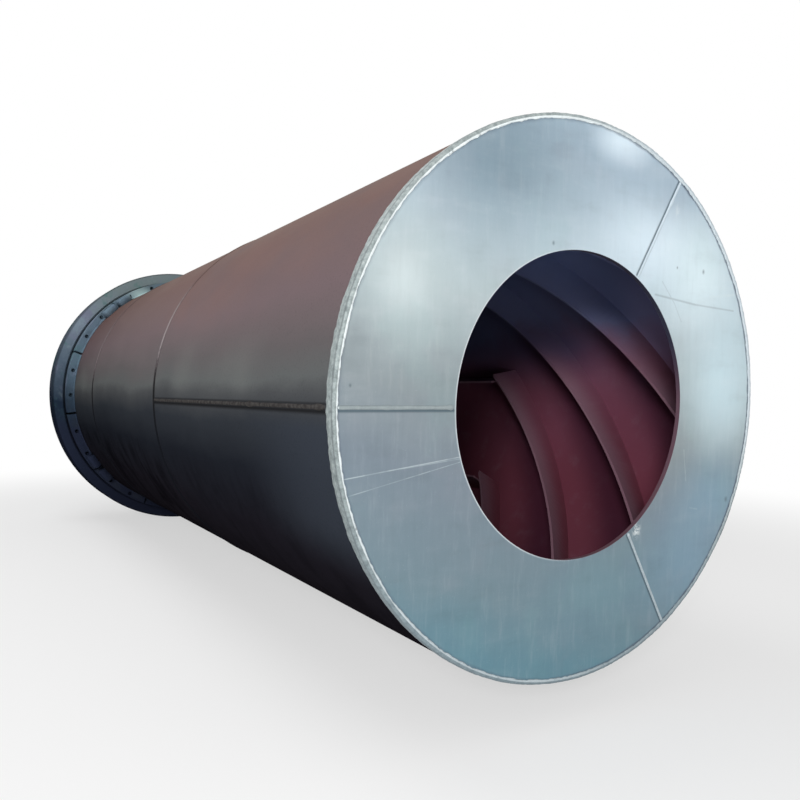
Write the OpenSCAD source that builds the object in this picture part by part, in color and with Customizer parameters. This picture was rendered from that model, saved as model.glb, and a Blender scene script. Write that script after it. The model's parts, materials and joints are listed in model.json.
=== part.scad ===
// Rotary slag dryer drum, feed end section: welded shell, end plates, riding ring and inner flights.
// Millimetres, +Z up. The drum's axis lies along Y and the feed end faces -Y.
// Angles round the drum are clockwise from the right-hand side, as seen from the feed end.

/* [Shell] */
// Outer radius of the shell
shell_r = 1200; // [1000:10:1500]
// Length of the shell course next to the feed end
course_1_l = 2430; // [2150:10:3000]
// Length of the middle shell course
course_2_l = 2210; // [1200:10:3000]
// Plate thickness of the first two courses
shell_t = 16; // [12:1:22]
// Plate thickness of the course under the riding ring, thickened inwards
ring_course_t = 24; // [16:1:40]

/* [End plates] */
// Radius of the feed and discharge openings
opening_r = 660; // [450:5:750]
// Thickness of each end plate
end_plate_t = 20; // [14:1:30]
// Angle of the first radial weld of an end plate
plate_weld_angle = 180; // [0:5:355]
// Depth of an end plate's edge below the shell's surface
plate_inset = 6; // [3:1:10]

/* [Welds] */
// Width of a weld bead on the shell
bead_w = 26; // [14:1:40]
// Width of a radial weld bead on an end plate
plate_bead_w = 18; // [10:1:30]
// Height of a weld bead
bead_h = 4; // [2:0.5:7]
// Length of plate left without weld beside the opening
plate_weld_stop = 24; // [5:1:60]
// Length of a rim weld along the shell
rim_weld_l = 40; // [20:1:60]
// Height of a rim weld above the shell
rim_weld_h = 6; // [3:0.5:10]
// Width of a rim weld on the end plate's face
rim_lap = 22; // [12:1:40]
// Height of a rim weld above the end plate's face
rim_crown = 5; // [2:0.5:8]
// Angle of the lengthwise seam on the first course
seam_1_angle = 180; // [0:5:355]
// Angle of the lengthwise seam on the middle course
seam_2_angle = 300; // [0:5:355]
// Angle of the lengthwise seam on the ring course
seam_3_angle = 60; // [0:5:355]

/* [Riding ring] */
// Distance from the second girth weld to the riding ring
ring_near_run = 1220; // [700:10:2400]
// Distance from the riding ring to the shell's discharge end
ring_far_run = 460; // [450:10:1200]
// Width of the riding ring
ring_w = 280; // [180:10:400]
// Radial thickness of the riding ring
ring_t = 117; // [80:1:180]
// Chamfer on the edges of the ring's tread
tread_chamfer = 8; // [2:1:20]
// Chamfer on the edges of the ring's bore
bore_chamfer = 18; // [4:1:30]
// Clearance between the ring's bore and its pads
ring_clearance = 0.2; // [0.1:0.05:0.3]

/* [Ring pads] */
// Number of groups of pads under the riding ring, with a pair of stop blocks at each group's end
pad_groups = 4; // [3:1:5]
// Number of pads in a group
pads_in_group = 3; // [2:1:4]
// Thickness of a pad
pad_t = 78; // [40:1:110]
// Length of pad that stands out past each face of the ring
pad_overhang = 180; // [100:10:220]
// Gap between two pads
pad_gap = 22; // [10:1:40]
// Angle of the first pad's middle
pad_first_angle = 187; // [0:1:359]
// Radius of the blind holes in a pad's feed side end
pad_hole_r = 20; // [8:1:26]
// Depth of the blind holes
pad_hole_depth = 60; // [20:5:90]
// Distance between the two holes of a pad
pad_hole_span = 260; // [120:2:280]
// Width of a stop block
stop_w = 142; // [60:1:160]
// Length of a stop block along the drum
stop_l = 150; // [60:5:160]
// Depth of a stop block's top below the pads' tops
stop_drop = 8; // [2:1:20]
// Bevel on a stop block's end edges
stop_bevel = 14; // [2:1:18]
// Gap between the two stop blocks of a pair
stop_gap = 40; // [16:1:80]

/* [Flights] */
// Radial height of the spiral feed flights
flight_h = 206; // [80:2:300]
// Plate thickness of the spiral feed flights
flight_t = 12; // [8:1:20]
// Length along the drum of the spiral zone
flight_zone_l = 1630; // [1000:10:2000]
// Length along the drum of one full turn of a spiral flight
flight_lead = 5380; // [4000:20:8000]
// Angle where the first spiral flight ends
flight_end_angle = 349.5; // [0:0.5:359.5]
// Radial height of the straight lifters
lifter_h = 206; // [80:2:300]
// Plate thickness of the straight lifters
lifter_t = 12; // [8:1:20]
// Gap along the drum between a spiral flight and its lifter
lifter_gap = 25; // [5:1:60]
// Angle that a lifter is set round from the end of its spiral flight
lifter_shift = 2.4; // [0:0.1:4]
// Distance between a lifter's end and the girth weld beside it
lifter_margin = 60; // [20:5:150]
// Length of shell left without lifters at the discharge end
discharge_clear_l = 400; // [100:10:700]

/* [Hidden] */
$fn = 180;

// Each end plate is three sectors, and each spiral flight leads on to one row of lifters.
plate_sectors = 3;
flight_count = 9;
// Steps along a spiral flight, fine enough for its root to follow the shell.
flight_steps = 72;
// Extra length of a cutting tool past the faces that it cuts.
cut_past = 5;

// Places along the drum, from the feed end plate's outer face.
shell_start = end_plate_t;
girth_1_z = shell_start + course_1_l;
girth_2_z = girth_1_z + course_2_l;
ring_z = girth_2_z + ring_near_run;
shell_end = ring_z + ring_w + ring_far_run;
drum_l = shell_end + end_plate_t;

// Radii.
bore_r = shell_r - shell_t;
ring_course_bore_r = shell_r - ring_course_t;
plate_r = shell_r - plate_inset;
pad_top_r = shell_r + pad_t;
ring_bore_r = pad_top_r + ring_clearance;
ring_r = ring_bore_r + ring_t;

// Pads share the circle, and the stop blocks stand against their ends.
pad_count = pad_groups * pads_in_group;
pad_pitch = 360 / pad_count;
pad_angle = pad_pitch - pad_gap / shell_r * 180 / PI;
pad_middle_r = shell_r + pad_t / 2;
pad_hole_angle = pad_hole_span / 2 / pad_middle_r * 180 / PI;
stop_angle = stop_w / shell_r * 180 / PI;
stop_offset = (stop_gap + stop_w) / 2 / shell_r * 180 / PI;
pad_l = ring_w + 2 * pad_overhang;
pad_z = ring_z - pad_overhang;

// A spiral flight cut square to the axis is wider than its plate.
sector_angle = 360 / plate_sectors;
flight_twist = flight_zone_l / flight_lead * 360;
flight_cut_t = flight_t / sin(atan(flight_lead / (2 * PI * bore_r)));
flight_root_r = sqrt(pow(bore_r, 2) - pow(flight_cut_t / 2, 2));

paint_silver = [0.70, 0.75, 0.77];
primer_brown = [0.40, 0.33, 0.32];
steel_blue = [0.36, 0.43, 0.48];
primer_red = [0.42, 0.20, 0.22];

// Stands the drum on its riding ring, with its middle over the origin.
module placed() {
    translate([0, -drum_l / 2, ring_r])
        rotate([-90, 0, 0])
            children();
}

// Turns what is made at the feed end round to the discharge end.
module at_discharge_end() {
    translate([0, 0, drum_l])
        mirror([0, 0, 1])
            children();
}

module tube(outer_r, inner_r, z, l) {
    translate([0, 0, z])
        difference() {
            cylinder(r = outer_r, h = l);
            translate([0, 0, -cut_past])
                cylinder(r = inner_r, h = l + 2 * cut_past);
        }
}

// Section of a weld bead: its height along x, its width along y.
module bead_section(w) {
    polygon([
        [0, -w / 2], [bead_h * 0.62, -w * 0.36], [bead_h, -w * 0.13],
        [bead_h, w * 0.13], [bead_h * 0.62, w * 0.36], [0, w / 2]
    ]);
}

module plate_sector(index) {
    rotate([0, 0, plate_weld_angle + index * sector_angle])
        rotate_extrude(angle = sector_angle)
            translate([opening_r, 0])
                square([plate_r - opening_r, end_plate_t]);
}

// Radial butt welds between the sectors, on the plate's outer face, up to the rim weld.
module plate_welds() {
    inner_r = opening_r + plate_weld_stop;
    for (i = [0 : plate_sectors - 1])
        rotate([0, 0, plate_weld_angle + i * sector_angle])
            translate([inner_r, 0, 0])
                rotate([0, 90, 0])
                    linear_extrude(shell_r - rim_lap - inner_r)
                        bead_section(plate_bead_w);
}

// Fills the step at the plate's edge, and laps onto the shell and onto the plate's face.
module rim_weld() {
    rotate_extrude()
        polygon([
            [plate_r, 0], [plate_r, end_plate_t], [shell_r, end_plate_t],
            [shell_r, end_plate_t + rim_weld_l],
            [shell_r + rim_weld_h * 0.55, end_plate_t + rim_weld_l * 0.82],
            [shell_r + rim_weld_h, end_plate_t + rim_weld_l * 0.45],
            [shell_r + rim_weld_h, end_plate_t * 0.6],
            [shell_r + rim_weld_h * 0.6, end_plate_t * 0.1],
            [shell_r - rim_lap * 0.2, -rim_crown * 0.85],
            [shell_r - rim_lap * 0.45, -rim_crown],
            [shell_r - rim_lap * 0.75, -rim_crown * 0.75],
            [shell_r - rim_lap, 0]
        ]);
}

module girth_weld(z) {
    rotate_extrude()
        translate([shell_r, z])
            bead_section(bead_w);
}

// Lengthwise bead on the shell between two places along the drum.
module course_seam(angle, z_from, z_to) {
    rotate([0, 0, angle])
        translate([shell_r, 0, z_from])
            linear_extrude(z_to - z_from)
                bead_section(bead_w);
}

// One pad: a curved bar with two blind holes in its feed side end.
module pad(angle) {
    rotate([0, 0, angle])
        difference() {
            rotate([0, 0, -pad_angle / 2])
                rotate_extrude(angle = pad_angle)
                    translate([shell_r, pad_z])
                        square([pad_t, pad_l]);
            for (side = [-1, 1])
                rotate([0, 0, side * pad_hole_angle])
                    translate([pad_middle_r, 0, pad_z - cut_past])
                        cylinder(r = pad_hole_r, h = pad_hole_depth + cut_past, $fn = 48);
        }
}

// One stop block on the shell, with bevelled ends.
module stop_block(angle, z_from) {
    top = pad_t - stop_drop;
    rotate([0, 0, angle - stop_angle / 2])
        rotate_extrude(angle = stop_angle)
            translate([shell_r, z_from])
                polygon([
                    [0, 0], [top - stop_bevel, 0], [top, stop_bevel],
                    [top, stop_l - stop_bevel], [top - stop_bevel, stop_l], [0, stop_l]
                ]);
}

// Pairs of stop blocks, one pair at the gap between two groups of pads.
module stops(z_from) {
    for (i = [0 : pad_groups - 1], side = [-1, 1])
        stop_block(pad_first_angle + (i * pads_in_group + 1.5) * pad_pitch + side * stop_offset, z_from);
}

// A spiral flight: a radial strip on the shell's bore, turning as it runs in from the feed end plate.
module spiral_flight(index) {
    rotate([0, 0, flight_end_angle + flight_twist + index * 360 / flight_count])
        translate([0, 0, shell_start])
            linear_extrude(height = flight_zone_l, twist = flight_twist, slices = flight_steps, $fn = 4)
                translate([bore_r - flight_h, -flight_cut_t / 2])
                    square([flight_root_r - bore_r + flight_h, flight_cut_t]);
}

// A ring of straight lifters on a bore, between two places along the drum.
module lifters(root_bore_r, z_from, z_to) {
    root_r = sqrt(pow(root_bore_r, 2) - pow(lifter_t / 2, 2));
    for (i = [0 : flight_count - 1])
        rotate([0, 0, flight_end_angle + lifter_shift + i * 360 / flight_count])
            translate([root_bore_r - lifter_h, -lifter_t / 2, z_from])
                cube([root_r - root_bore_r + lifter_h, lifter_t, z_to - z_from]);
}

module feed_plate_upper() {
    color(paint_silver) placed() plate_sector(0);
}

module feed_plate_right() {
    color(paint_silver) placed() plate_sector(1);
}

module feed_plate_lower() {
    color(paint_silver) placed() plate_sector(2);
}

module feed_plate_welds() {
    color(paint_silver) placed() plate_welds();
}

module feed_rim_weld() {
    color(paint_silver) placed() rim_weld();
}

module shell_course_1() {
    color(primer_brown) placed() tube(shell_r, bore_r, shell_start, course_1_l);
}

module shell_course_2() {
    color(primer_brown) placed() tube(shell_r, bore_r, girth_1_z, course_2_l);
}

module shell_course_3() {
    color(primer_brown) placed() tube(shell_r, ring_course_bore_r, girth_2_z, shell_end - girth_2_z);
}

module girth_weld_1() {
    color(primer_brown) placed() girth_weld(girth_1_z);
}

module girth_weld_2() {
    color(primer_brown) placed() girth_weld(girth_2_z);
}

module course_seam_1() {
    color(primer_brown)
        placed()
            course_seam(seam_1_angle, shell_start + rim_weld_l, girth_1_z - bead_w / 2);
}

module course_seam_2() {
    color(primer_brown)
        placed()
            course_seam(seam_2_angle, girth_1_z + bead_w / 2, girth_2_z - bead_w / 2);
}

module course_seam_3() {
    color(primer_brown)
        placed()
            course_seam(seam_3_angle, girth_2_z + bead_w / 2, pad_z - stop_l);
}

module riding_ring() {
    color(steel_blue)
        placed()
            rotate_extrude()
                translate([ring_bore_r, ring_z])
                    polygon([
                        [0, bore_chamfer], [bore_chamfer, 0],
                        [ring_t - tread_chamfer, 0], [ring_t, tread_chamfer],
                        [ring_t, ring_w - tread_chamfer], [ring_t - tread_chamfer, ring_w],
                        [bore_chamfer, ring_w], [0, ring_w - bore_chamfer]
                    ]);
}

module ring_pads() {
    color(steel_blue)
        placed()
            for (i = [0 : pad_count - 1])
                pad(pad_first_angle + i * pad_pitch);
}

module pad_stops_feed_side() {
    color(steel_blue) placed() stops(pad_z - stop_l);
}

module pad_stops_discharge_side() {
    color(steel_blue) placed() stops(pad_z + pad_l);
}

module feed_flight_1() {
    color(primer_red) placed() spiral_flight(0);
}

module feed_flight_2() {
    color(primer_red) placed() spiral_flight(1);
}

module feed_flight_3() {
    color(primer_red) placed() spiral_flight(2);
}

module feed_flight_4() {
    color(primer_red) placed() spiral_flight(3);
}

module feed_flight_5() {
    color(primer_red) placed() spiral_flight(4);
}

module feed_flight_6() {
    color(primer_red) placed() spiral_flight(5);
}

module feed_flight_7() {
    color(primer_red) placed() spiral_flight(6);
}

module feed_flight_8() {
    color(primer_red) placed() spiral_flight(7);
}

module feed_flight_9() {
    color(primer_red) placed() spiral_flight(8);
}

module lifters_course_1() {
    color(primer_red)
        placed()
            lifters(bore_r, shell_start + flight_zone_l + lifter_gap, girth_1_z - lifter_margin);
}

module lifters_course_2() {
    color(primer_red)
        placed()
            lifters(bore_r, girth_1_z + lifter_margin, girth_2_z - lifter_margin);
}

module lifters_course_3() {
    color(primer_red)
        placed()
            lifters(ring_course_bore_r, girth_2_z + lifter_margin, shell_end - discharge_clear_l);
}

module discharge_plate_upper() {
    color(paint_silver) placed() at_discharge_end() plate_sector(0);
}

module discharge_plate_right() {
    color(paint_silver) placed() at_discharge_end() plate_sector(1);
}

module discharge_plate_lower() {
    color(paint_silver) placed() at_discharge_end() plate_sector(2);
}

module discharge_plate_welds() {
    color(paint_silver) placed() at_discharge_end() plate_welds();
}

module discharge_rim_weld() {
    color(paint_silver) placed() at_discharge_end() rim_weld();
}

feed_plate_upper();
feed_plate_lower();
feed_plate_right();
feed_plate_welds();
feed_rim_weld();
shell_course_1();
shell_course_2();
shell_course_3();
girth_weld_1();
girth_weld_2();
course_seam_1();
course_seam_2();
course_seam_3();
riding_ring();
ring_pads();
pad_stops_feed_side();
pad_stops_discharge_side();
feed_flight_1();
feed_flight_2();
feed_flight_3();
feed_flight_4();
feed_flight_5();
feed_flight_6();
feed_flight_7();
feed_flight_8();
feed_flight_9();
lifters_course_1();
lifters_course_2();
lifters_course_3();
discharge_plate_upper();
discharge_plate_lower();
discharge_plate_right();
discharge_plate_welds();
discharge_rim_weld();
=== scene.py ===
"""Looks of the slag dryer drum: painted finishes, rippled weld beads, floor, light and camera."""

import json
import math

import bmesh
import bpy
from mathutils import Matrix, Vector, noise


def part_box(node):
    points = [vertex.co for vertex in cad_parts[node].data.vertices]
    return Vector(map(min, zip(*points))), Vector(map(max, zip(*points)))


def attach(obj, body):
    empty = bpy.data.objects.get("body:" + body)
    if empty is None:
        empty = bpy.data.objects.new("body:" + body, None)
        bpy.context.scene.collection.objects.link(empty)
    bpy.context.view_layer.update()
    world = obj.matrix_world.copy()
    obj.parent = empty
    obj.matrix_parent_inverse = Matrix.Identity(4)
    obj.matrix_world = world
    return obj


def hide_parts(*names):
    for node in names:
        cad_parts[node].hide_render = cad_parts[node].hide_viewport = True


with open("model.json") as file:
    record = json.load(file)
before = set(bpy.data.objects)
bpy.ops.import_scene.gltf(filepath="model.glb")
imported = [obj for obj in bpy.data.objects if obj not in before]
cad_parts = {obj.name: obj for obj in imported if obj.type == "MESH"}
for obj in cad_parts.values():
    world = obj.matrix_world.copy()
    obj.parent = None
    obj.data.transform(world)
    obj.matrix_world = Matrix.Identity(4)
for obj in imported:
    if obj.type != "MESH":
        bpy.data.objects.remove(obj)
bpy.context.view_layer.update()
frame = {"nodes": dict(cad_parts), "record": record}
nodes = frame["nodes"]

# Places of the drum in the row frame, in metres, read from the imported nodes.
SHELL_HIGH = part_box("shell_course_1")[1]
RING_LOW, RING_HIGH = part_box("riding_ring")
PLATE_LOW, PLATE_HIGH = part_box("feed_plate_right")
PADS_FEED_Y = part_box("ring_pads")[0].y
AXIS_Z = (RING_LOW.z + RING_HIGH.z) / 2
AXIS = Vector((0.0, 0.0, AXIS_Z))
SHELL_R = SHELL_HIGH.x
FEED_Y = PLATE_LOW.y
PLATE_T = PLATE_HIGH.y - PLATE_LOW.y
GIRTH_1_Y = SHELL_HIGH.y
GIRTH_2_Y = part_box("shell_course_2")[1].y

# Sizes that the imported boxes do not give, in metres.
OPENING_R = 0.66
PLATE_EDGE_R = SHELL_R - 0.006
SHELL_T = 0.016
FLIGHT_EDGE_R = 0.978
PAD_TOP_R = SHELL_R + 0.078
PAD_GAP = 0.022
STOP_W = 0.142
STOP_H = 0.070
STOP_GAP = 0.040
STOP_ROUND = 0.024
FILLET_LEG = 0.016

# Rim weld: how far it laps over the plate, crowns in front of it, rises over the shell and runs back along it.
RIM_LAP = 0.019
RIM_CROWN = 0.005
RIM_RISE = 0.006
RIM_RUN = 0.030

# Other beads: half the width and the crown, how deep they sink into what they lie on, how far a radial one
# reaches under the rim weld, and the length of one piece of a straight one.
GIRTH_HALF, GIRTH_CROWN = 0.0135, 0.0050
SEAM_HALF, SEAM_CROWN = 0.0085, 0.0042
PLATE_BEAD_CROWN = 0.0046
BEAD_SINK = 0.0005
BEAD_REACH = 0.002
BEAD_STEP = 0.005

# Unevenness of weld metal: how far it swells and how far its edges wander, in metres, and as a share of a
# straight bead's crown and width.
RIM_FACE_LUMP = 0.0016
RIM_BACK_LUMP = 0.0021
RIM_TOE_WANDER = 0.0060
RIM_END_WANDER = 0.010
GIRTH_LUMP, GIRTH_WANDER = 0.0010, 0.002
FILLET_LUMP = 0.0030
BEAD_CROWN_SHARE, BEAD_WIDTH_SHARE = 0.28, 0.14

# Steps of a spin: round a rim weld, round a girth bead, and along the fillet of one pad.
RIM_STEPS, GIRTH_STEPS, FILLET_STEPS = 1200, 1080, 60

# Pads under the riding ring: how many, how many in a group, their pitch, and the first one's angle.
PAD_COUNT = 12
PADS_IN_GROUP = 3
PAD_PITCH = math.tau / PAD_COUNT
FIRST_PAD_ANGLE = math.radians(187.0)

# Radial welds of an end plate: angle clockwise from the right, gap to the opening, half a bead's width,
# and how far to the side its painted shadow line is.
PLATE_WELDS = (
    (180.3, 0.014, 0.0078, 0.0118),
    (300.3, 0.006, 0.0066, 0.0108),
    (59.7, 0.006, 0.0062, -0.0096),
)

# Swellings on each of those welds: run along the bead, reach to either side, and rise.
PLATE_WELD_BLOBS = (
    ((0.008, 0.022, 0.003), (0.30, 0.02, 0.0012)),
    ((0.40, 0.03, 0.002),),
    ((0.01, 0.03, 0.0015),),
)

# Lengthwise seams of the three courses: angle clockwise from the right, swellings, and the first one's
# height over the axis.
SEAM_ANGLES = (180.3, 300.0, 60.0)
SEAM_BLOBS = (
    ((0.72, 0.05, 0.004), (0.05, 0.05, 0.004)),
    ((0.9, 0.04, 0.002),),
    ((0.4, 0.04, 0.002),),
)
SEAM_RISE = -SHELL_R * math.sin(math.radians(SEAM_ANGLES[0]))

# Spiral flights: how many, length along the drum of one turn, where they end, and the first one's angle.
FLIGHT_COUNT = 9
FLIGHT_LEAD = 5.38
FLIGHT_END_Y = FEED_Y + 1.65
FLIGHT_END_ANGLE = math.radians(349.5)

# The photograph's camera: place from the middle of the feed end in metres, turns in degrees, lens and sensor
# in millimetres, and shift in frame widths.
CAMERA_PLACE = (-2.4031, -2.2029, 0.0597)
CAMERA_TURNS = (85.3883, -0.2659, -27.5768)
CAMERA_LENS, CAMERA_SENSOR = 32.143, 36.0
CAMERA_SHIFT = (0.1, 0.0625)

# Lamps: name, place, aim and width in metres, and power in watts.
LAMPS = (
    ("front_lamp", (-6.2, -8.9, 3.7), (0.4, -3.0, 1.2), 2.4, 540.0),
    ("left_lamp", (-8.0, 1.5, 2.6), (0.0, 1.2, 1.4), 3.6, 60.0),
    ("top_lamp", (-3.0, 0.0, 9.0), (0.0, 0.0, 1.4), 5.0, 230.0),
    ("low_fill_lamp", (-1.2, -6.8, 0.5), (0.6, -2.6, 2.0), 1.2, 26.0),
)

# Light from all round where it falls on things, the floor's half side, and where it goes over to white.
SKY_STRENGTH = 0.5
FLOOR_HALF = 60.0
FLOOR_WHITE_FROM, FLOOR_WHITE_AT = 4.0, 9.0
FLOOR_GLOW = 0.55


class Wire:
    """One output of a node. Arithmetic on it adds Math nodes."""

    def __init__(self, graph, socket):
        self.graph = graph
        self.socket = socket

    def output(self, name):
        """Another output of the same node."""
        return Wire(self.graph, self.socket.node.outputs[name])

    def math(self, operation, *rest, clamp=False):
        return self.graph.math(operation, self, *rest, clamp=clamp)

    def __add__(self, other):
        return self.math("ADD", other)

    __radd__ = __add__

    def __mul__(self, other):
        return self.math("MULTIPLY", other)

    __rmul__ = __mul__

    def __sub__(self, other):
        return self.math("SUBTRACT", other)

    def __rsub__(self, other):
        return self.graph.math("SUBTRACT", other, self)

    def __truediv__(self, other):
        return self.math("DIVIDE", other)

    def __abs__(self):
        return self.math("ABSOLUTE")

    def __gt__(self, other):
        return self.math("GREATER_THAN", other)

    def __lt__(self, other):
        return self.math("LESS_THAN", other)

    def clamp(self):
        return self.math("ADD", 0.0, clamp=True)

    def most(self, other):
        return self.math("MAXIMUM", other)

    def root(self):
        return self.math("SQRT")

    def fade(self, start, end):
        """0 at start and 1 at end, smooth between them."""
        settings = {"interpolation_type": "SMOOTHSTEP"}
        return self.graph.add("ShaderNodeMapRange", settings, {0: self, 1: start, 2: end, 3: 0.0, 4: 1.0})

    def band(self, middle, half):
        """1 at the middle, fading to 0 at half a band's width to either side."""
        return abs(self - middle).fade(half, 0.0)


class Graph:
    """A node tree that is written as expressions."""

    def __init__(self, tree):
        self.tree = tree

    def add(self, kind, settings, sockets, out=0):
        """Adds a node: its settings first, then values or links of its sockets. Returns one output."""
        node = self.tree.nodes.new(kind)
        for key, value in settings.items():
            if key == "stops":
                self.set_stops(node.color_ramp, value)
            else:
                setattr(node, key, value)
        self.plug(node, sockets)
        return Wire(self, node.outputs[out])

    def plug(self, node, sockets):
        """Sets or links sockets of a node."""
        for key, value in sockets.items():
            if isinstance(value, Wire):
                self.tree.links.new(value.socket, node.inputs[key])
            else:
                node.inputs[key].default_value = value

    @staticmethod
    def set_stops(ramp, stops):
        while len(ramp.elements) < len(stops):
            ramp.elements.new(1.0)
        for element, (place, colour) in zip(ramp.elements, stops):
            element.position = place
            element.color = (*colour, 1.0)

    def math(self, operation, *values, clamp=False):
        settings = {"operation": operation, "use_clamp": clamp}
        return self.add("ShaderNodeMath", settings, dict(enumerate(values)))

    def seen(self):
        """1 for rays that show a thing as itself, 0 for rays that gather its light."""
        camera = self.add("ShaderNodeLightPath", {}, {}, "Is Camera Ray")
        return camera.most(camera.output("Is Glossy Ray")).most(camera.output("Is Transmission Ray"))


class Finish(Graph):
    """A material on Object coordinates, the row's own. behind is the depth behind the nearer end's face."""

    def __init__(self, name):
        self.material = bpy.data.materials.new(name)
        self.material.use_nodes = True
        super().__init__(self.material.node_tree)
        self.shader = self.tree.nodes["Principled BSDF"]
        self.point = self.add("ShaderNodeTexCoord", {}, {}, "Object")
        self.x = self.add("ShaderNodeSeparateXYZ", {}, {0: self.point}, "X")
        self.y = self.x.output("Y")
        self.rise = self.x.output("Z") - AXIS_Z
        self.height = self.rise / SHELL_R
        self.radius = (self.x * self.x + self.rise * self.rise).root()
        self.behind = -FEED_Y - abs(self.y)

    def mix(self, first, second, factor, blend="MIX"):
        """Colour mix of two colours."""
        sockets = {0: factor, 6: first, 7: second}
        return self.add("ShaderNodeMix", {"data_type": "RGBA", "blend_type": blend}, sockets, 2)

    def ramp(self, value, stops):
        return self.add("ShaderNodeValToRGB", {"stops": stops}, {0: value})

    def noise(self, scale, detail=3.0, rough=0.55, stretch=None, warp=0.0):
        """Noise from 0 to 1, drawn closer along the axes that stretch makes larger."""
        point = self.point
        if stretch:
            point = self.add("ShaderNodeVectorMath", {"operation": "MULTIPLY"}, {0: point, 1: stretch})
        sockets = {"Vector": point, "Scale": scale, "Detail": detail, "Roughness": rough, "Distortion": warp}
        return self.add("ShaderNodeTexNoise", {}, sockets, "Fac")

    def spot(self, u, v, half_u, half_v):
        """A soft round patch on the end plate: 1 at its middle, 0 past its edge."""
        du = (self.x - u) / half_u
        dv = (self.rise - v) / half_v
        return (du * du + dv * dv).root().fade(1.0, 0.0)

    def scratch(self, start, end, width):
        """A line on the end plate from start to end, given as (right, up) from the axis."""
        along = (end[0] - start[0], end[1] - start[1])
        length = math.hypot(*along)
        du = self.x - start[0]
        dv = self.rise - start[1]
        run = (du * (along[0] / length ** 2) + dv * (along[1] / length ** 2)).clamp()
        off_u = du - run * along[0]
        off_v = dv - run * along[1]
        return (off_u * off_u + off_v * off_v).root().fade(width, 0.0)

    def marks(self, lines):
        """Several scratches together, each (start, end, width, strength)."""
        total = None
        for start, end, width, strength in lines:
            line = self.scratch(start, end, width) * strength
            total = line if total is None else total.most(line)
        return total

    def bump(self, height, strength, distance, normal=None):
        sockets = {"Strength": strength, "Distance": distance, "Height": height}
        if normal:
            sockets["Normal"] = normal
        return self.add("ShaderNodeBump", {}, sockets)

    def set(self, **sockets):
        """Values or links of the shader's own sockets, named with _ for spaces."""
        self.plug(self.shader, {key.replace("_", " "): value for key, value in sockets.items()})
        return self.material


def tint(red, green, blue):
    return (red, green, blue, 1.0)


BLACK = tint(0.0, 0.0, 0.0)
WHITE = tint(1.0, 1.0, 1.0)


def red_primer_and_painted_light(f):
    """Dull red primer inside, dusty below, with painted light: blue reflection on top, blue shade deep inside.
    """
    cloud = f.noise(2.4, 4.0, 0.6)
    level = f.height * 0.5 + 0.5 + (cloud - 0.5) * 0.16
    # Painted reflection: the ramp over height turns the primer blue towards the top.
    base = f.ramp(level, [
        (0.05, (0.150, 0.042, 0.062)), (0.30, (0.180, 0.048, 0.074)), (0.50, (0.195, 0.064, 0.102)),
        (0.60, (0.192, 0.078, 0.122)), (0.66, (0.190, 0.112, 0.180)), (0.71, (0.175, 0.190, 0.340)),
        (0.95, (0.120, 0.180, 0.370)),
    ])
    upper = f.height.fade(0.05, 0.35)
    near = f.y.fade(FEED_Y + 1.25, FEED_Y + 0.55)
    dim = 0.80 - f.height.fade(0.25, 0.60) * f.y.fade(FEED_Y + 2.0, FEED_Y + 1.2) * 0.35
    # Painted shade: dark blue over the upper part deep inside.
    base = f.mix(base, tint(0.040, 0.046, 0.105), (1.0 - near) * upper * dim)
    # Painted light: pale blue high up close to the end plate.
    base = f.mix(base, tint(0.255, 0.320, 0.580), near * f.height.fade(0.55, 0.82) * 0.75)
    dust = f.noise(9.0, 5.0, 0.65).fade(0.5, 0.85)
    return f.mix(base, tint(0.25, 0.15, 0.19), dust * 0.3 * (1.0 - upper))


def painted_flight_shadow(f):
    """1 on the wall just behind a flight or lifter, where a shadow is painted, fading out towards the next one.
    """
    angle = (0.0 - f.rise).math("ARCTAN2", f.x)
    turn = (FLIGHT_END_Y - f.y).most(0.0) * (math.tau / FLIGHT_LEAD)
    phase = (angle - turn - FLIGHT_END_ANGLE) * (FLIGHT_COUNT / math.tau)
    return phase.math("FRACT").fade(0.85, 0.35)


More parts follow.
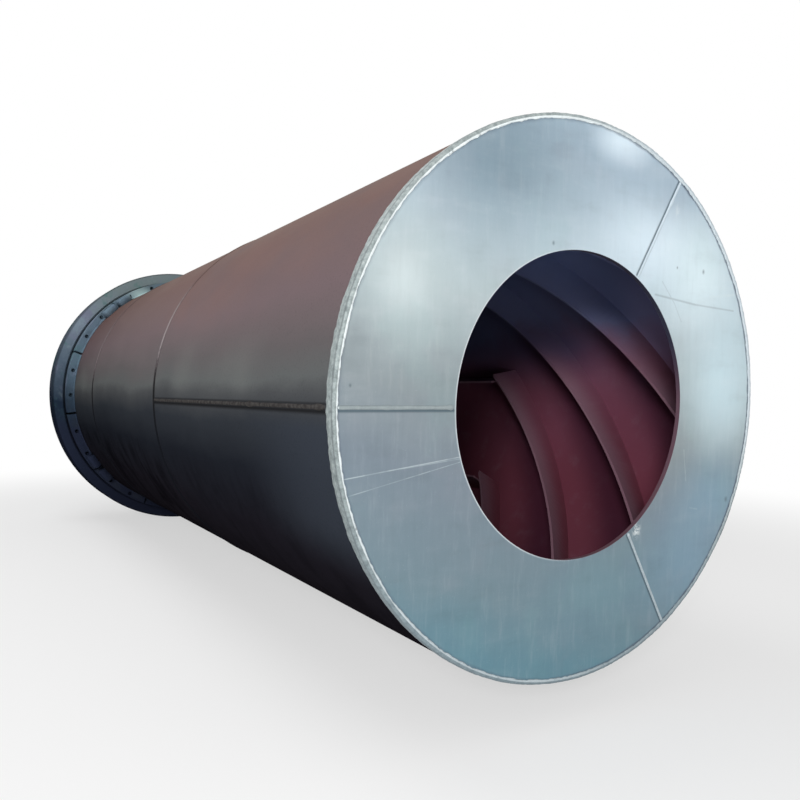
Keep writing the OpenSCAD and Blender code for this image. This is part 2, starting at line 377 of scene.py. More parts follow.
def shell_primer():
    """Primer, red-brown on top and red inside, with painted light: tan highlight on top, grey reflection, dark
    shade below.
    """
    f = Finish("shell_primer")
    cloud = f.noise(0.8, 4.0, 0.6)
    patch = f.noise(2.6, 5.0, 0.6, stretch=(1.0, 0.6, 1.6))
    level = f.height * 0.5 + 0.5 + (cloud - 0.5) * 0.06 + (patch - 0.5) * 0.05
    # Painted light by height: a tan highlight along the top, a grey reflection at the middle, shade nearly
    # black below.
    base = f.ramp(level, [
        (0.00, (0.010, 0.008, 0.010)), (0.24, (0.011, 0.010, 0.014)), (0.38, (0.0125, 0.0145, 0.020)),
        (0.465, (0.027, 0.031, 0.038)), (0.525, (0.060, 0.063, 0.067)), (0.55, (0.090, 0.096, 0.097)),
        (0.60, (0.094, 0.084, 0.087)), (0.70, (0.134, 0.096, 0.103)), (0.85, (0.148, 0.090, 0.082)),
        (0.93, (0.165, 0.106, 0.090)), (0.98, (0.225, 0.170, 0.130)),
    ])
    # Rust and worn patches on the near course, a painted greenish sheen at the middle, dark runs below.
    rust = f.noise(1.5, 4.0, 0.6, stretch=(1.0, 0.8, 1.3))
    above = f.height.fade(0.25, 0.55) * f.y.fade(GIRTH_1_Y + 0.6, GIRTH_1_Y - 0.4)
    base = f.mix(base, tint(0.168, 0.094, 0.084), rust.fade(0.46, 0.70) * above * 0.45)
    base = f.mix(base, tint(0.112, 0.088, 0.096), rust.fade(0.50, 0.30) * above * 0.35)
    sheen = f.noise(0.9, 2.0, 0.4, stretch=(1.0, 1.3, 1.6)).fade(0.45, 0.75)
    sheen = sheen * f.height.fade(0.0, 0.10) * f.height.fade(0.35, 0.15)
    base = f.mix(base, tint(0.20, 0.21, 0.20), sheen * 0.30)
    runs = f.noise(3.0, 4.0, 0.6, stretch=(1.5, 2.2, 1.0), warp=0.6).fade(0.38, 0.72)
    runs = runs * f.height.fade(-0.18, -0.38)
    base = f.mix(base, BLACK, runs * (0.25 + f.y.fade(-1.0, -0.3) * 0.35))
    near_end = f.y.fade(FEED_Y + 1.0, FEED_Y + 0.1) * f.height.fade(0.0, -0.08) * f.height.fade(-0.6, -0.35)
    base = f.mix(base, tint(0.032, 0.038, 0.050), near_end * 0.8)
    base = f.mix(base, f.mix(base, BLACK, 0.22), f.y.fade(GIRTH_1_Y - 0.4, GIRTH_2_Y + 0.6))
    grain = f.noise(120.0, 2.0, 0.6)
    base = f.mix(base, BLACK, grain.fade(0.5, 0.85) * 0.22)
    # Painted shade: dark lines beside the lengthwise seam, wider below it, and beside the girth welds at mid
    # height.
    seam = (f.rise.band(SEAM_RISE + 0.012, 0.010) * 0.7).most(f.rise.band(SEAM_RISE - 0.016, 0.018))
    seam = seam * (f.x < 0.0) * (f.y < GIRTH_1_Y)
    girth = f.y.band(GIRTH_1_Y, 0.036).most(f.y.band(GIRTH_2_Y, 0.034))
    girth = girth * f.height.fade(0.40, 0.15) * f.height.fade(-0.30, -0.05)
    base = f.mix(base, tint(0.010, 0.010, 0.011), seam.most(girth) * 0.9)
    # The bore: red primer with painted light, a painted shadow behind each flight and painted bluish light near
    # the end plate.
    deep = f.y.fade(FEED_Y + 1.4, FEED_Y + 2.0)
    shade = (0.75 - deep * 0.65) * (1.0 - f.height.fade(0.15, 0.45) * 0.55)
    lining = f.mix(red_primer_and_painted_light(f), tint(0.034, 0.009, 0.022), painted_flight_shadow(f) * shade)
    painted_light_near_plate = f.y.fade(FEED_Y + 0.75, FEED_Y + 0.50) * f.height.band(0.38, 0.34)
    lining = f.mix(lining, tint(0.30, 0.30, 0.53), painted_light_near_plate * 0.5)
    base = f.mix(base, lining, f.radius < SHELL_R - SHELL_T / 2)
    rough = (0.62 - f.height * 0.18) + (patch - 0.5) * 0.15
    gloss = f.height.fade(-0.05, 0.25) * (0.06 + patch * 0.10)
    wave = f.noise(1.3, 2.0, 0.4)
    bump = f.bump(f.noise(70.0, 2.0), 0.06, 0.003, f.bump(wave, 0.12, 0.02))
    return f.set(Base_Color=base, Roughness=rough, Specular_IOR_Level=0.0, Normal=bump,
                 Coat_Weight=gloss, Coat_Roughness=0.28)


def beside_weld(angle, offset):
    """Two ends of a line beside a radial weld of the end plate, as (right, up) from the axis."""
    right, up = math.cos(math.radians(angle)), -math.sin(math.radians(angle))
    ends = (OPENING_R + 0.012, SHELL_R - RIM_LAP)
    return [(r * right - offset * up, r * up + offset * right) for r in ends]


def plate_silver():
    """Silver paint on the end plates: clouded, scratched, painted light and shade, red primer on the bore and
    the inner face.
    """
    f = Finish("plate_silver")
    cloud = f.noise(1.5, 3.0, 0.5)
    mottle = f.noise(6.0, 5.0, 0.6)
    level = f.height * 0.5 + 0.5 + f.x * 0.095 + (cloud - 0.5) * 0.10 + (mottle - 0.5) * 0.04
    # Painted light: the ramp over height and across makes the plate brighter to the upper right, darker to the
    # lower left.
    base = f.ramp(level, [
        (0.02, (0.098, 0.200, 0.248)), (0.14, (0.133, 0.198, 0.232)), (0.33, (0.158, 0.196, 0.232)),
        (0.46, (0.215, 0.252, 0.268)), (0.52, (0.255, 0.298, 0.314)), (0.64, (0.370, 0.440, 0.458)),
        (0.78, (0.460, 0.555, 0.610)), (0.95, (0.345, 0.440, 0.520)),
    ])
    # Painted highlights, reflections and shade: right and up from the axis, half width, half height, colour and
    # strength.
    painted_light_patches = (
        (-0.50, 0.98, 0.80, 0.55, (0.165, 0.235, 0.285), 0.90),
        (-0.88, 0.47, 0.32, 0.38, (0.420, 0.490, 0.500), 0.70),
        (-0.91, 0.47, 0.17, 0.17, (0.560, 0.630, 0.640), 0.60),
        (0.42, 0.72, 0.46, 0.30, (0.640, 0.755, 0.830), 0.85),
        (0.22, 1.14, 0.26, 0.14, (0.720, 0.840, 0.920), 0.75),
        (0.78, 0.62, 0.42, 0.42, (0.700, 0.830, 0.870), 0.80),
        (0.98, 0.12, 0.42, 0.55, (0.540, 0.700, 0.760), 0.85),
        (0.75, -0.75, 0.50, 0.45, (0.180, 0.290, 0.375), 0.80),
        (0.95, -0.45, 0.48, 0.36, (0.190, 0.300, 0.380), 0.90),
        (0.25, -0.85, 0.75, 0.35, (0.125, 0.217, 0.268), 0.65),
    )
    for u, v, half_u, half_v, colour, strength in painted_light_patches:
        base = f.mix(base, tint(*colour), f.spot(u, v, half_u, half_v) * strength)
    # Haze, fine upright streaks and specks, and faint red and green casts.
    haze = f.noise(1.0, 4.0, 0.6, stretch=(3.0, 1.0, 11.0)) * 0.6 + mottle * 0.4
    bright = haze.fade(0.5, 0.70) * (0.4 + f.height.fade(-0.3, 0.3) * 0.6)
    base = f.mix(base, f.mix(base, WHITE, 0.06), bright)
    base = f.mix(base, f.mix(base, BLACK, 0.09), haze.fade(0.5, 0.32))
    streak = f.noise(1.0, 5.0, 0.7, stretch=(30.0, 1.0, 4.0))
    speck = f.noise(130.0, 2.0, 0.6)
    base = f.mix(base, f.mix(base, WHITE, 0.035), streak.fade(0.50, 0.72).most(speck.fade(0.66, 0.74)))
    base = f.mix(base, f.mix(base, BLACK, 0.035), streak.fade(0.50, 0.30).most(speck.fade(0.34, 0.26)))
    cast = f.noise(3.2, 4.0, 0.6)
    base = f.mix(base, f.mix(base, tint(0.44, 0.34, 0.38), 0.04), cast.fade(0.52, 0.68))
    base = f.mix(base, f.mix(base, tint(0.22, 0.42, 0.40), 0.07), cast.fade(0.48, 0.32))
    # Scratches and pits of the feed end's face, and painted shadow lines beside its radial welds.
    front = f.y < 0.0
    thin = 0.4 + f.noise(14.0, 3.0, 0.6).fade(0.35, 0.6) * 0.6
    pale = f.marks((
        ((-1.170, -0.252), (-0.637, -0.189), 0.0034, 1.0), ((-1.145, -0.314), (-0.637, -0.209), 0.0030, 0.7),
        ((-0.900, -0.222), (-0.637, -0.196), 0.0030, 0.6), ((0.847, 0.522), (1.022, 0.542), 0.0100, 0.8),
        ((0.704, -0.205), (0.728, -0.355), 0.0050, 0.5), ((0.765, -0.487), (0.820, -0.498), 0.0060, 0.5),
    ))
    base = f.mix(base, tint(0.64, 0.72, 0.73), pale * thin * front * 0.42)
    dark = f.marks((
        ((0.456, 0.508), (0.739, 0.479), 0.0080, 0.35), ((0.739, 0.479), (1.028, 0.466), 0.0070, 0.30),
        ((0.500, 0.569), (0.590, 0.475), 0.0050, 0.22), ((0.590, 0.475), (0.643, 0.395), 0.0050, 0.18),
    ))
    pits = ((0.787, 0.635, 0.013), (0.599, 0.639, 0.008), (-0.177, 0.674, 0.011), (-1.132, 0.085, 0.009),
            (1.044, -0.464, 0.016))
    for u, v, size in pits:
        dark = dark.most(f.spot(u, v, size, size * 1.3) * 0.7)
    weld_shadow_lines = f.marks([(*beside_weld(angle, side), 0.0105, 1.0) for angle, _, _, side in PLATE_WELDS])
    base = f.mix(base, tint(0.05, 0.08, 0.10), dark.most(weld_shadow_lines) * front * 0.88)
    # White daubs at the ends of two welds, a painted shadow at the rim weld's toe, a painted highlight on the
    # opening's lip, its cut edge.
    smear = f.noise(60.0, 4.0, 0.7).fade(0.42, 0.55)
    daub = f.spot(0.392, -0.566, 0.040, 0.055).most(f.spot(0.583, 0.893, 0.022, 0.05) * 0.4)
    base = f.mix(base, tint(0.72, 0.76, 0.76), daub * smear * front * 0.8)
    # Painted shadow along the rim weld's toe, stronger to the right.
    uneven = (f.noise(16.0, 3.0, 0.6) - 0.5) * 0.014
    rim_toe_shadow = (f.radius + uneven).fade(SHELL_R - RIM_LAP - 0.013, SHELL_R - RIM_LAP + 0.001)
    base = f.mix(base, tint(0.07, 0.09, 0.13), rim_toe_shadow * (0.30 + f.x.fade(-0.3, 0.7) * 0.6))
    # Painted highlight on the opening's lip at the left.
    lip_highlight = f.radius.fade(OPENING_R + 0.008, OPENING_R + 0.002) * f.x.fade(0.1, -0.4) * front
    base = f.mix(base, tint(0.58, 0.64, 0.66), lip_highlight * 0.7)
    # The cut edge: red primer, darkened by painted shade towards the upper right.
    cut = f.ramp(f.height * 0.5 + 0.5 + f.x * 0.2, [
        (0.30, (0.150, 0.080, 0.100)), (0.64, (0.140, 0.078, 0.105)), (0.74, (0.040, 0.038, 0.066)),
        (0.85, (0.030, 0.034, 0.054)),
    ])
    base = f.mix(base, red_primer_and_painted_light(f), f.behind > PLATE_T * 0.9)
    base = f.mix(base, cut, f.radius < OPENING_R + 0.0006)
    rough = 0.46 + (mottle - 0.5) * 0.16
    bump = f.bump(f.noise(80.0, 2.0), 0.05, 0.002, f.bump(f.noise(1.2, 2.0, 0.4), 0.10, 0.02))
    return f.set(Base_Color=base, Roughness=rough, Metallic=0.12, Specular_IOR_Level=0.3, Normal=bump)


def weld_silver():
    """Silver paint on weld metal of the end plates: rough grey at the left, painted pale-blue light at the
    right.
    """
    f = Finish("weld_silver")
    fleck = f.noise(48.0, 5.0, 0.7)
    base = f.ramp(fleck + f.height * 0.10, [
        (0.22, (0.080, 0.096, 0.098)), (0.42, (0.180, 0.212, 0.214)), (0.56, (0.262, 0.302, 0.302)),
        (0.75, (0.380, 0.425, 0.420)),
    ])
    rim = f.radius > SHELL_R - RIM_LAP * 1.2
    pale = f.x.fade(-0.3, 0.6)
    base = f.mix(base, tint(0.245, 0.285, 0.295), (1.0 - rim) * (1.0 - pale) * 0.75)
    # Painted light: a pale-blue reflection towards the right, weaker low down on the rim weld.
    low = f.height.fade(-0.7, 0.1)
    base = f.mix(base, tint(0.560, 0.650, 0.720), pale * (0.5 + low * 0.4 - rim * (0.6 - low * 0.32)))
    # Painted highlight along the rim weld's crest, strongest at the left.
    crest_highlight = f.radius.band(SHELL_R - RIM_LAP * 0.80, 0.0095) * f.behind.fade(0.002, -0.002)
    crest_highlight = crest_highlight.fade(0.1, 0.7) * f.noise(24.0, 4.0, 0.6).fade(0.22, 0.46) * rim
    base = f.mix(base, tint(0.80, 0.86, 0.87), crest_highlight * (0.25 + f.x.fade(0.5, -0.3) * 0.70))
    # Painted shade: a dark line just behind the crest, and darker blue-grey towards the bottom of the rim weld.
    base = f.mix(base, tint(0.06, 0.07, 0.08), f.behind.band(0.005, 0.006) * rim * 0.55)
    base = f.mix(base, tint(0.17, 0.23, 0.27), f.height.fade(-0.1, -0.9) * rim * 0.6)
    bump = f.bump(f.noise(160.0, 3.0, 0.6), 0.35, 0.002)
    return f.set(Base_Color=base, Roughness=0.45 + fleck * 0.2, Metallic=0.12, Specular_IOR_Level=0.25,
                 Normal=bump)


def weld_primer():
    """Primer on the shell's own beads, with painted light: a pale highlight on the shoulder and dark shade
    below.
    """
    f = Finish("weld_primer")
    fleck = f.noise(40.0, 5.0, 0.7)
    # Painted light by height: the pale band is a highlight, the dark part below is shade.
    base = f.ramp(f.height * 0.5 + 0.5 + (fleck - 0.5) * 0.12, [
        (0.00, (0.006, 0.007, 0.010)), (0.42, (0.009, 0.010, 0.013)), (0.52, (0.015, 0.015, 0.016)),
        (0.575, (0.028, 0.026, 0.027)), (0.61, (0.115, 0.100, 0.105)), (0.66, (0.260, 0.230, 0.235)),
        (0.76, (0.220, 0.185, 0.185)), (0.82, (0.130, 0.092, 0.090)), (0.95, (0.150, 0.105, 0.090)),
    ])
    lengthwise = (f.rise.band(SEAM_RISE, 0.030) * (f.x < 0.0)).fade(0.0, 0.2) * (f.y < GIRTH_1_Y - 0.02)
    flecked = f.ramp(fleck, [(0.35, (0.028, 0.026, 0.026)), (0.65, (0.066, 0.062, 0.060))])
    base = f.mix(base, flecked, lengthwise)
    far = f.y.fade(GIRTH_1_Y + 0.5, GIRTH_2_Y - 0.5)
    base = f.mix(base, f.mix(base, tint(0.100, 0.078, 0.084), 0.6), far * f.height.fade(0.1, 0.3))
    bump = f.bump(f.noise(140.0, 3.0, 0.6), 0.35, 0.002)
    return f.set(Base_Color=base, Roughness=0.5 + fleck * 0.2, Specular_IOR_Level=0.0, Normal=bump)


def ring_paint():
    """Blue-grey paint on the riding ring, its pads and its stop blocks, with teal and violet casts and painted
    shade.
    """
    f = Finish("ring_paint")
    cloud = f.noise(1.6, 4.0, 0.6)
    scuff = f.noise(11.0, 5.0, 0.65)
    level = f.height * 0.44 + 0.5 + (cloud - 0.5) * 0.14 + (scuff - 0.5) * 0.08
    # Painted shade: the ramp over height makes the ring darker towards the bottom.
    base = f.ramp(level, [
        (0.05, (0.014, 0.017, 0.032)), (0.33, (0.020, 0.026, 0.048)), (0.50, (0.016, 0.028, 0.049)),
        (0.64, (0.095, 0.132, 0.178)), (0.78, (0.220, 0.275, 0.335)), (0.92, (0.185, 0.230, 0.240)),
    ])
    cast = f.noise(4.5, 4.0, 0.6)
    upper = f.height.fade(-0.3, 0.5)
    base = f.mix(base, tint(0.085, 0.190, 0.180), cast.fade(0.53, 0.66) * upper * 0.75)
    base = f.mix(base, tint(0.190, 0.200, 0.285), cast.fade(0.47, 0.33) * upper * 0.70)
    base = f.mix(base, tint(0.26, 0.33, 0.34), scuff.fade(0.58, 0.74) * upper * 0.35)
    pads = f.radius.fade(PAD_TOP_R + 0.016, PAD_TOP_R - 0.014)
    base = f.mix(base, tint(0.105, 0.165, 0.220), pads * upper * 0.75)
    base = f.mix(base, tint(0.030, 0.036, 0.046), pads * f.noise(7.0, 3.0, 0.5).fade(0.45, 0.66) * 0.35)
    # A pale patch on the pads' feed side ends at the upper left.
    pale_pad_patch = f.spot(-0.48, 1.11, 0.24, 0.13) * (f.y < PADS_FEED_Y + 0.06)
    base = f.mix(base, tint(0.42, 0.57, 0.57), pale_pad_patch * 0.85)
    # Painted shadow: near black in the gap between the ring and the pads, wider at the top.
    gap = f.radius.band(PAD_TOP_R, 0.008).most(f.radius.band(PAD_TOP_R, 0.013) * f.height.fade(0.6, 0.9))
    base = f.mix(base, tint(0.005, 0.006, 0.009), gap * f.y.fade(RING_LOW.y - 0.12, RING_LOW.y - 0.01) * 0.92)
    # Painted shade darkens the ring's outer edge.
    rim = f.radius.fade(RING_HIGH.x - 0.018, RING_HIGH.x - 0.004)
    base = f.mix(base, f.mix(base, BLACK, 0.6), rim)
    bump = f.bump(f.noise(60.0, 3.0), 0.14, 0.003)
    return f.set(Base_Color=base, Roughness=0.55 + (scuff - 0.5) * 0.3, Specular_IOR_Level=0.0, Normal=bump)


def inner_primer():
    """Dull red primer on the flights and lifters, with a painted pinkish sheen near their inner edges."""
    f = Finish("inner_primer")
    base = red_primer_and_painted_light(f)
    # Painted sheen: paler pink near the inner edges, fading out towards the top.
    edge = f.radius.fade(SHELL_R - 0.04, FLIGHT_EDGE_R)
    base = f.mix(base, tint(0.29, 0.185, 0.235), edge * 0.6 * f.height.fade(0.35, 0.0))
    scuff = f.noise(18.0, 4.0, 0.6)
    bump = f.bump(f.noise(60.0, 3.0), 0.10, 0.003)
    return f.set(Base_Color=base, Roughness=0.46 + scuff * 0.25, Specular_IOR_Level=0.3, Normal=bump)


def dress_nodes():
    """Gives each CAD node the finish of its slot and returns the finishes."""
    finishes = {
        "silver_paint": plate_silver(),
        "shell_primer": shell_primer(),
        "ring_steel": ring_paint(),
        "inner_primer": inner_primer(),
    }
    for part in frame["record"]["subparts"]:
        node = nodes[part["node"]]
        node.data.materials.clear()
        node.data.materials.append(finishes[part["material_slot"]])
    return finishes


def finish_piece(name, bm, material, slot, *replaced):
    """Turns a bmesh into a smooth piece that rides on the drum and stands for CAD nodes."""
    bmesh.ops.remove_doubles(bm, verts=bm.verts, dist=1e-6)
    bmesh.ops.recalc_face_normals(bm, faces=bm.faces)
    for face in bm.faces:
        face.smooth = True
    mesh = bpy.data.meshes.new(name)
    bm.to_mesh(mesh)
    bm.free()
    mesh.materials.append(material)
    piece = bpy.data.objects.new(name, mesh)
    bpy.context.scene.collection.objects.link(piece)
    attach(piece, "root")
    if replaced:
        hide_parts(*replaced)


def on_drum(radius, angle, y):
    """A place on a circle round the axis, its angle clockwise from the right as seen from the feed end."""
    return Vector((radius * math.cos(angle), y, AXIS_Z - radius * math.sin(angle)))


def spun_section(bm, section, steps, start=math.pi, sweep=math.tau):
    """Spins a closed section, given as (radius, y), round the drum's axis. A part turn gets closed ends."""
    whole = sweep == math.tau
    verts = [bm.verts.new(on_drum(r, start, y)) for r, y in section]
    edges = [bm.edges.new((a, b)) for a, b in zip(verts, verts[1:] + verts[:1])]
    made = bmesh.ops.spin(bm, geom=verts + edges, cent=AXIS, axis=(0.0, 1.0, 0.0), angle=sweep, steps=steps,
                          use_merge=whole)
    if not whole:
        last = [item for item in made["geom_last"] if isinstance(item, bmesh.types.BMEdge)]
        for ring in (edges, last):
            bmesh.ops.contextual_create(bm, geom=ring)


def ripple(place, seed, coarse, fine):
    """Uneven height of weld metal at a place, about -1 to 1."""
    shift = Vector((seed, seed * 0.37, -seed * 0.71))
    broad = noise.noise(place * coarse + shift)
    painted_light_near_plate = noise.noise(place * fine + shift)
    return broad * 0.65 + painted_light_near_plate * 0.6


def rim_weld(name, facing, material, replaced):
    """The lumpy bead round an end plate. facing is -1 at the feed end and 1 at the discharge end."""
    face_y = facing * -FEED_Y
    outer = [
        (SHELL_R - RIM_LAP, 0.0), (SHELL_R - RIM_LAP * 0.88, -RIM_CROWN * 0.55),
        (SHELL_R - RIM_LAP * 0.68, -RIM_CROWN * 0.9), (SHELL_R - RIM_LAP * 0.42, -RIM_CROWN),
        (SHELL_R - RIM_LAP * 0.15, -RIM_CROWN * 0.8), (SHELL_R + RIM_RISE * 0.3, -RIM_CROWN * 0.3),
        (SHELL_R + RIM_RISE * 0.75, PLATE_T * 0.2), (SHELL_R + RIM_RISE, PLATE_T * 0.7),
        (SHELL_R + RIM_RISE, PLATE_T + RIM_RUN * 0.3), (SHELL_R + RIM_RISE * 0.8, PLATE_T + RIM_RUN * 0.65),
        (SHELL_R + RIM_RISE * 0.45, PLATE_T + RIM_RUN * 0.87), (SHELL_R, PLATE_T + RIM_RUN),
    ]
    back = [(SHELL_R, PLATE_T), (PLATE_EDGE_R, PLATE_T), (PLATE_EDGE_R, 0.0)]
    on_face, toe_depth = 0.0001, 0.003
    bm = bmesh.new()
    spun_section(bm, [(r, face_y - facing * d) for r, d in outer + back], RIM_STEPS)
    for vert in bm.verts:
        out = Vector((vert.co.x, 0.0, vert.co.z - AXIS_Z))
        radius = out.length
        out.normalize()
        depth = facing * (face_y - vert.co.y)
        lump = ripple(vert.co, 3.1 + facing, 9.0, 55.0)
        if depth < -on_face:
            vert.co.y += facing * RIM_FACE_LUMP * lump
        if radius > SHELL_R + on_face:
            vert.co += out * RIM_BACK_LUMP * lump
        if abs(depth) < toe_depth and radius < SHELL_R - RIM_LAP * 0.6 and radius < PLATE_EDGE_R - 0.002:
            vert.co += out * RIM_TOE_WANDER * ripple(vert.co, 7.7, 14.0, 55.0)
        if depth > PLATE_T + RIM_RUN * 0.8:
            vert.co.y -= facing * RIM_END_WANDER * ripple(vert.co, 5.3, 11.0, 45.0)
    finish_piece(name, bm, material, "silver_paint", replaced)


def girth_bead(name, y, material, replaced):
    """The bead round the shell between two courses."""
    parts, fullness = 8, 0.8
    arch = [(SHELL_R + GIRTH_CROWN * math.sin(math.pi * i / parts) ** fullness,
             y - GIRTH_HALF * math.cos(math.pi * i / parts)) for i in range(1, parts)]
    foot = SHELL_R - BEAD_SINK
    bm = bmesh.new()
    spun_section(bm, [(foot, y - GIRTH_HALF)] + arch + [(foot, y + GIRTH_HALF)], GIRTH_STEPS)
    for vert in bm.verts:
        out = Vector((vert.co.x, 0.0, vert.co.z - AXIS_Z))
        if out.length > SHELL_R + BEAD_SINK:
            vert.co += out.normalized() * GIRTH_LUMP * ripple(vert.co, 11.0 + y, 8.0, 60.0)
            vert.co.y += GIRTH_WANDER * ripple(vert.co, 17.0 + y, 6.0, 40.0)
    finish_piece(name, bm, material, "shell_primer", replaced)


def straight_bead(bm, length, half, crown, turn, seed, blobs=()):
    """A bead along +X from the origin, its crown up +Z, then turned into place. blobs are its swellings."""
    steps = max(int(length / BEAD_STEP), 8)
    made = bmesh.ops.create_grid(bm, x_segments=steps, y_segments=10, size=0.5)["verts"]
    for vert in made:
        run = (vert.co.x + 0.5) * length
        side = vert.co.y * 2.0
        end = min(1.0, math.sqrt(max(min(run, length - run), 0.0) / half + 0.02))
        arch = math.sqrt(max(1.0 - side * side, 0.0))
        place = Vector((run, 0.0, side * 0.01))
        rise = crown * arch * end * (1.0 + BEAD_CROWN_SHARE * ripple(place, seed, 16.0, 110.0))
        wide = half * end * (1.0 + BEAD_WIDTH_SHARE * ripple(place, seed + 4.0, 13.0, 60.0))
        for middle, reach, lift in blobs:
            near = max(0.0, 1.0 - abs(run - middle) / reach)
            near = near * near * (3.0 - 2.0 * near)
            rise += lift * near * arch
            wide += lift * 1.2 * near
        vert.co = Vector((run, side * wide, rise))
    faces = list({face for vert in made for face in vert.link_faces})
    copy = bmesh.ops.extrude_face_region(bm, geom=faces)["geom"]
    under = [item for item in copy if isinstance(item, bmesh.types.BMVert)]
    for vert in under:
        vert.co.z = -BEAD_SINK
    bmesh.ops.transform(bm, matrix=turn, verts=made + under)


def plate_weld_beads(name, facing, material, replaced):
    """The three radial beads of an end plate, from beside the opening to the rim weld."""
    bm = bmesh.new()
    for index, (angle, gap, half, _) in enumerate(PLATE_WELDS):
        length = SHELL_R - RIM_LAP + BEAD_REACH - OPENING_R - gap
        turn = (Matrix.Translation((0.0, facing * -FEED_Y, AXIS_Z))
                @ Matrix.Rotation(math.radians(angle), 4, "Y")
                @ Matrix.Translation((OPENING_R + gap, 0.0, 0.0))
                @ Matrix.Rotation(math.radians(-90.0) * facing, 4, "X"))
        seed = 21.0 + 3 * index + facing
        straight_bead(bm, length, half, PLATE_BEAD_CROWN, turn, seed, PLATE_WELD_BLOBS[index])
    finish_piece(name, bm, material, "silver_paint", replaced)


def course_seam_bead(name, node, angle, material, blobs):
    """The lengthwise bead of one shell course, at an angle clockwise from the right."""
    low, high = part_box(node)
    turn = (Matrix.Translation((0.0, low.y, AXIS_Z)) @ Matrix.Rotation(math.radians(angle), 4, "Y")
            @ Matrix.Translation((SHELL_R, 0.0, 0.0)) @ Matrix.Rotation(math.radians(90.0), 4, "Y")
            @ Matrix.Rotation(math.radians(90.0), 4, "Z"))
    bm = bmesh.new()
    straight_bead(bm, high.y - low.y, SEAM_HALF, SEAM_CROWN, turn, 31.0 + angle, blobs)
    finish_piece(name, bm, material, "shell_primer", node)


def stop_angles():
    """Angles of the stop blocks' middles: a pair at the gap after each group of pads."""
    offset = (STOP_GAP + STOP_W) / 2 / SHELL_R
    for group in range(PAD_COUNT // PADS_IN_GROUP):
        gap = FIRST_PAD_ANGLE + (group + 0.5) * PADS_IN_GROUP * PAD_PITCH
        yield gap - offset
        yield gap + offset


def stop_blocks(name, node, material):
    """Pillow-shaped blocks on the shell against the pads' ends."""
    low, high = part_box(node)
    bm = bmesh.new()
    for angle in stop_angles():
        made = bmesh.ops.create_cube(bm, size=1.0)["verts"]
        bmesh.ops.scale(bm, vec=(STOP_W, high.y - low.y, STOP_H), verts=made)
        block = {edge for vert in made for edge in vert.link_edges}
        upper = [edge for edge in block if max(vert.co.z for vert in edge.verts) > 0.0]
        rounded = bmesh.ops.bevel(bm, geom=upper, offset=STOP_ROUND, offset_type="OFFSET", affect="EDGES",
                                  segments=5, profile=0.5, material=-1)
        body = {vert for face in rounded["faces"] for vert in face.verts}
        body |= {vert for vert in made if vert.is_valid}
        for vert in body:
            radius = SHELL_R + STOP_H / 2 + vert.co.z
            vert.co = on_drum(radius, angle + vert.co.x / SHELL_R, (low.y + high.y) / 2 + vert.co.y)
    finish_piece(name, bm, material, "ring_steel", node)


def pad_fillets(name, material):
    """Weld fillets at the foot of the pads' feed side ends, where no stop block stands."""
    half_stop = STOP_W / 2 / SHELL_R
    half_pad = (PAD_PITCH - PAD_GAP / SHELL_R) / 2
    stops = list(stop_angles())
    parts, on_face = 6, 0.001
    bends = [math.pi / 2 * i / parts for i in range(parts + 1)]
    arc = [(SHELL_R + FILLET_LEG * math.cos(bend), PADS_FEED_Y - FILLET_LEG * math.sin(bend)) for bend in bends]
    bm = bmesh.new()
    for index in range(PAD_COUNT):
        middle = FIRST_PAD_ANGLE + index * PAD_PITCH
        start, end = middle - half_pad, middle + half_pad
        for stop in stops:
            off = (stop - middle + math.pi) % math.tau - math.pi
            if 0.0 < off < half_pad:
                end = middle + off - half_stop
            elif -half_pad < off < 0.0:
                start = middle + off + half_stop
        spun_section(bm, arc + [(SHELL_R, PADS_FEED_Y)], FILLET_STEPS, start, end - start)
    for vert in bm.verts:
        out = Vector((vert.co.x, 0.0, vert.co.z - AXIS_Z))
        if vert.co.y < PADS_FEED_Y - on_face and out.length > SHELL_R + on_face:
            lump = FILLET_LUMP * ripple(vert.co, 41.0, 12.0, 60.0)
            vert.co += out.normalized() * lump
            vert.co.y -= lump
    finish_piece(name, bm, material, "ring_steel")


def lay_floor():
    """A pale floor that goes over to the white background away from the drum."""
    mesh = bpy.data.meshes.new("studio_floor")
    bm = bmesh.new()
    bmesh.ops.create_grid(bm, x_segments=1, y_segments=1, size=FLOOR_HALF)
    bm.to_mesh(mesh)
    bm.free()
    floor = bpy.data.objects.new("studio_floor", mesh)
    bpy.context.scene.collection.objects.link(floor)
    f = Finish("studio_floor")
    f.set(Base_Color=tint(0.8, 0.8, 0.8), Roughness=0.9, Specular_IOR_Level=0.0)
    away = (f.x * f.x + f.y * f.y).root().fade(FLOOR_WHITE_FROM, FLOOR_WHITE_AT)
    white = f.add("ShaderNodeEmission", {}, {"Color": WHITE, "Strength": 1.0})
    share = f.seen() * (FLOOR_GLOW + away * (1.0 - FLOOR_GLOW))
    shown = f.add("ShaderNodeMixShader", {}, {0: share, 1: Wire(f, f.shader.outputs[0]), 2: white})
    f.plug(f.tree.nodes["Material Output"], {"Surface": shown})
    mesh.materials.append(f.material)


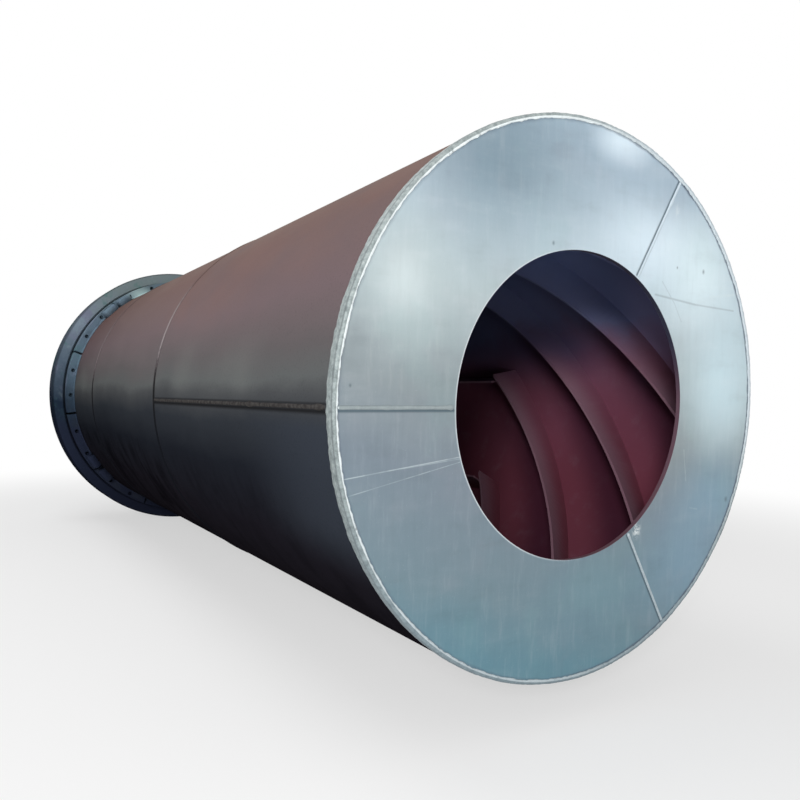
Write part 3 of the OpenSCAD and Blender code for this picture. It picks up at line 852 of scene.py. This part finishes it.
def area_lamp(name, place, aim, size, power):
    """A round soft lamp that points at its aim."""
    lamp = bpy.data.lights.new(name, "AREA")
    lamp.shape = "DISK"
    lamp.size = size
    lamp.energy = power
    holder = bpy.data.objects.new(name, lamp)
    holder.location = place
    holder.rotation_euler = (Vector(aim) - Vector(place)).to_track_quat("-Z", "Y").to_euler()
    bpy.context.scene.collection.objects.link(holder)


def light_scene():
    """Soft light from all round, and lamps at the left front, the left, overhead and low before the opening."""
    world = bpy.data.worlds.new("studio")
    world.use_nodes = True
    sky = Graph(world.node_tree)
    strength = SKY_STRENGTH + sky.seen() * (1.0 - SKY_STRENGTH)
    sky.plug(sky.tree.nodes["Background"], {"Color": WHITE, "Strength": strength})
    bpy.context.scene.world = world
    for lamp in LAMPS:
        area_lamp(*lamp)


def set_camera():
    """The photograph's view: at axis height, close to the feed end and left of it."""
    camera = bpy.data.cameras.new("photo_camera")
    camera.sensor_width = CAMERA_SENSOR
    camera.lens = CAMERA_LENS
    camera.shift_x, camera.shift_y = CAMERA_SHIFT
    holder = bpy.data.objects.new("photo_camera", camera)
    holder.location = Vector((0.0, FEED_Y, AXIS_Z)) + Vector(CAMERA_PLACE)
    holder.rotation_euler = [math.radians(turn) for turn in CAMERA_TURNS]
    bpy.context.scene.collection.objects.link(holder)
    bpy.context.scene.camera = holder


set_camera()
finishes = dress_nodes()
silver_beads, primer_beads = weld_silver(), weld_primer()
rim_weld("feed_rim_bead", -1, silver_beads, "feed_rim_weld")
rim_weld("discharge_rim_bead", 1, silver_beads, "discharge_rim_weld")
plate_weld_beads("feed_plate_beads", -1, silver_beads, "feed_plate_welds")
plate_weld_beads("discharge_plate_beads", 1, silver_beads, "discharge_plate_welds")
girth_bead("girth_bead_1", GIRTH_1_Y, primer_beads, "girth_weld_1")
girth_bead("girth_bead_2", GIRTH_2_Y, primer_beads, "girth_weld_2")
for course, (angle, blobs) in enumerate(zip(SEAM_ANGLES, SEAM_BLOBS), 1):
    course_seam_bead(f"course_bead_{course}", f"course_seam_{course}", angle, primer_beads, blobs)
stop_blocks("feed_side_stop_blocks", "pad_stops_feed_side", finishes["ring_steel"])
stop_blocks("discharge_side_stop_blocks", "pad_stops_discharge_side", finishes["ring_steel"])
pad_fillets("pad_end_fillets", finishes["ring_steel"])
lay_floor()
light_scene()
bpy.context.scene.view_settings.view_transform = "Standard"
